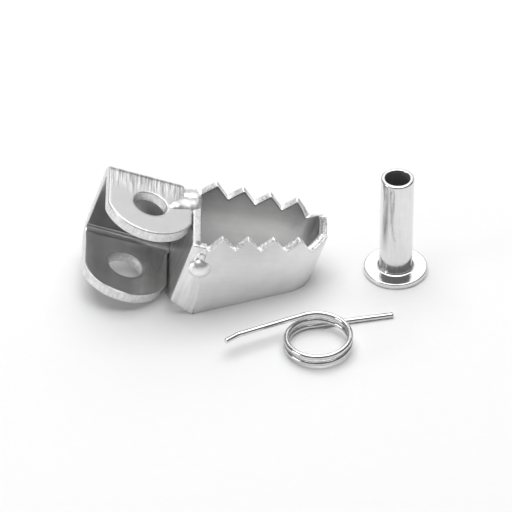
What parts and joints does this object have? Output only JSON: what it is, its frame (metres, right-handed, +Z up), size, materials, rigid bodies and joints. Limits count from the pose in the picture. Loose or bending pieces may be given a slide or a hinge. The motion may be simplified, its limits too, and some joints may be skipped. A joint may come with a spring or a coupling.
{
  "type": "foot peg",
  "caption": "Motorcycle foot peg kit: welded clevis with a toothed, tapered tread, a hollow flanged pivot pin and a torsion return spring, laid out loose.",
  "frame": {"origin": "middle of the floor area that the three loose pieces cover, at floor level", "axes": "+Z up from the surface the pieces lie on; +X along the peg, from the clevis towards the nose of the tread; +Y towards the side of the bracket's web"},
  "size_m": [0.1252, 0.0685, 0.042],
  "materials": {
    "bracket_steel": "bright zinc plate over pressed sheet, scratched along the bends",
    "tread_steel": "bright zinc plate over pressed sheet, torn grain on the sheared teeth",
    "plate_steel": "bright zinc plate over flat sheet",
    "weld_metal": "plated weld bead, smooth and lumpy",
    "pin_steel": "turned and bright plated",
    "spring_wire": "bright plated spring wire"
  },
  "bodies": {
    "peg": {"clevis_bracket": "bracket_steel", "tread_band": "tread_steel", "cross_plate": "plate_steel", "ear_weld": "weld_metal", "web_weld": "weld_metal", "corner_weld": "weld_metal"},
    "pin": {"pivot_pin": "pin_steel"},
    "spring": {"spring_coil": "spring_wire", "spring_lower_leg": "spring_wire"},
    "spring_arm": {"spring_upper_leg": "spring_wire"}
  },
  "joints": [
    {"name": "pin_lift", "type": "slide", "parent": "peg", "child": "pin", "axis": [0, 0, 1], "range_m": [0, 0.06]},
    {"name": "spring_lift", "type": "slide", "parent": "peg", "child": "spring", "axis": [0, 0, 1], "range_m": [0, 0.06]},
    {"name": "wind", "type": "hinge", "parent": "spring", "child": "spring_arm", "pos_m": [0.0225, -0.0219, 0.0066], "axis": [0, 0, 1], "range_deg": [0, 60], "stiffness_Nm_per_rad": 1.1, "deforming": ["spring_coil"]}
  ]
}
